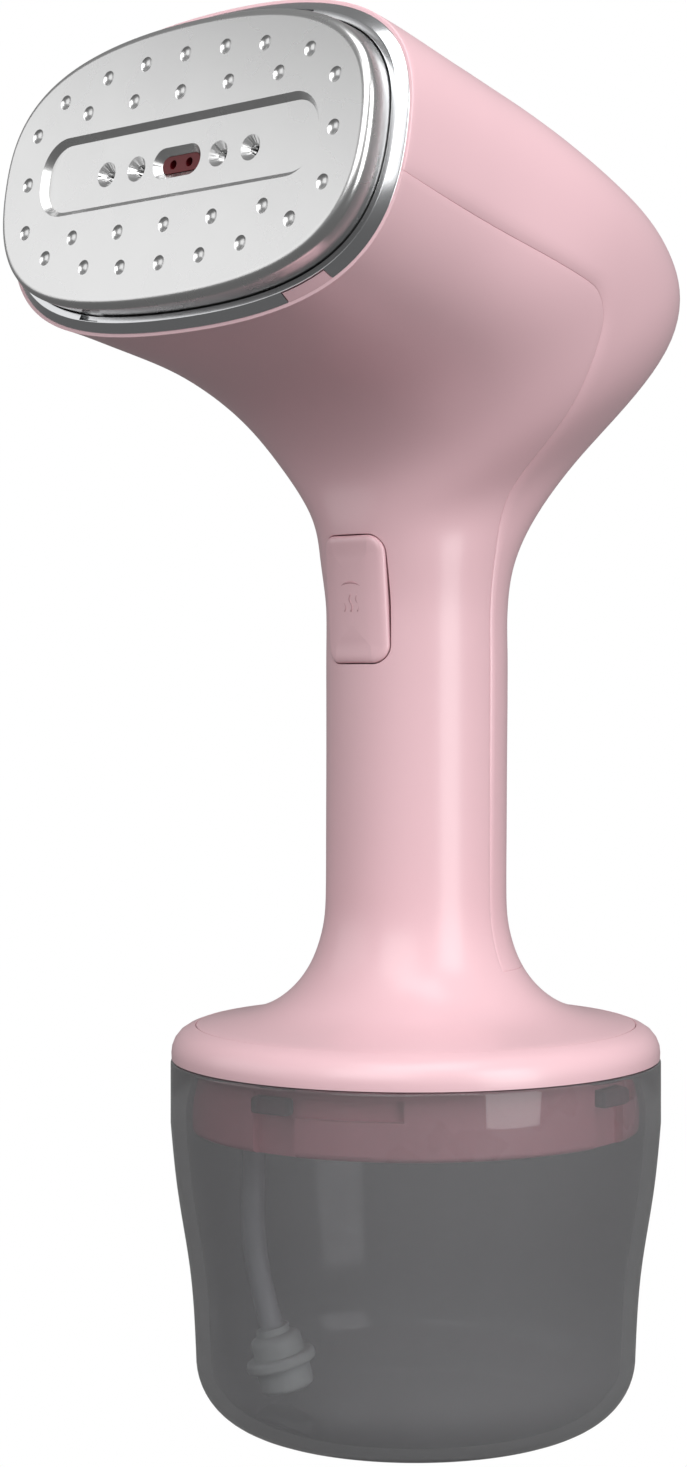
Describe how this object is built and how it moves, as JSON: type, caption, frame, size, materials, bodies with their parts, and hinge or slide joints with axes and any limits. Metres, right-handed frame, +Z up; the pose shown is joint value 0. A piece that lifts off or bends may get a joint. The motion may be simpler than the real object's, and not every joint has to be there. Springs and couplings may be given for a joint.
{
  "type": "garment steamer",
  "caption": "Hand-held garment steamer: wide head with a dimpled steam plate in a bright ring, slim round handle with a steam button, clear screw-on water tank as its foot.",
  "frame": {"origin": "centre of the water tank's flat underside, on which the steamer stands", "axes": "+Z up the handle's axis, -Y the way the steam plate faces, +X to the steamer's left as it faces you from -Y"},
  "size_m": [0.1078, 0.1242, 0.2783],
  "materials": {
    "pink_plastic": "satin moulded ABS",
    "chrome_ring": "chromed ABS",
    "plate_metal": "satin brushed",
    "cast_aluminium": "as cast",
    "steel": "zinc plated",
    "clear_tank": "smoke clear plastic, moulded",
    "grey_silicone": "smooth silicone",
    "grey_plastic": "moulded",
    "black_rubber": "moulded",
    "red_silicone": "moulded silicone",
    "black_plastic": "moulded nylon",
    "white_plastic": "moulded nylon",
    "copper_coil": "varnished winding, taped",
    "board_green": "glass fibre board",
    "wire_sleeve": "glass braid sleeve"
  },
  "bodies": {
    "handle": {"front_shell": "pink_plastic", "rear_shell": "pink_plastic", "base_rim": "pink_plastic", "tank_collar": "pink_plastic", "collar_screws": "steel", "intake_nipple": "grey_plastic", "intake_hose": "grey_silicone", "intake_weight": "grey_plastic", "intake_filter": "grey_plastic", "air_valve": "black_rubber", "bezel_ring": "chrome_ring", "steam_plate": "plate_metal", "nozzle_insert": "red_silicone", "plate_gasket": "grey_silicone", "boiler_body": "cast_aluminium", "boiler_lid": "cast_aluminium", "lid_screws": "steel", "heating_element": "steel", "thermostat": "steel", "thermal_fuse": "white_plastic", "boiler_frame": "black_plastic", "pump_body": "black_plastic", "pump_coil": "copper_coil", "pump_yoke": "steel", "pump_spring": "steel", "pump_cushions": "black_rubber", "suction_hose": "grey_silicone", "pressure_hose": "grey_silicone", "hose_clips": "steel", "button_spring": "steel", "micro_switch": "black_plastic", "control_board": "board_green", "mains_wires": "wire_sleeve", "heater_wires": "wire_sleeve", "cord_gland": "black_rubber", "casing_screws": "steel"},
    "seal": {"tank_seal": "black_rubber"},
    "tank": {"water_tank": "clear_tank"},
    "button": {"steam_button": "pink_plastic"},
    "switch_plunger": {"switch_plunger": "white_plastic"},
    "plunger": {"pump_plunger": "steel"}
  },
  "joints": [
    {"name": "tank_turn", "type": "hinge", "parent": "handle", "child": "seal", "pos_m": [0, 0, 0.07], "axis": [0, 0, 1], "range_deg": [0, 27]},
    {"name": "tank_drop", "type": "slide", "parent": "seal", "child": "tank", "axis": [0, 0, -1], "range_m": [0, 0.08]},
    {"name": "button_press", "type": "slide", "parent": "handle", "child": "button", "axis": [0, 1, 0], "range_m": [0, 0.0016], "stiffness_N_per_m": 600, "springref_m": -0.001, "deforming": ["button_spring"]},
    {"name": "switch_press", "type": "slide", "parent": "handle", "child": "switch_plunger", "axis": [0, 1, 0], "range_m": [0, 0.0016]},
    {"name": "pump_stroke", "type": "slide", "parent": "handle", "child": "plunger", "axis": [0, 0, 1], "range_m": [0, 0.0025], "stiffness_N_per_m": 1500, "springref_m": -0.0005, "deforming": ["pump_spring"]}
  ],
  "couplings": [
    {"joint": "switch_press", "follows": "button_press", "ratio": 1}
  ]
}
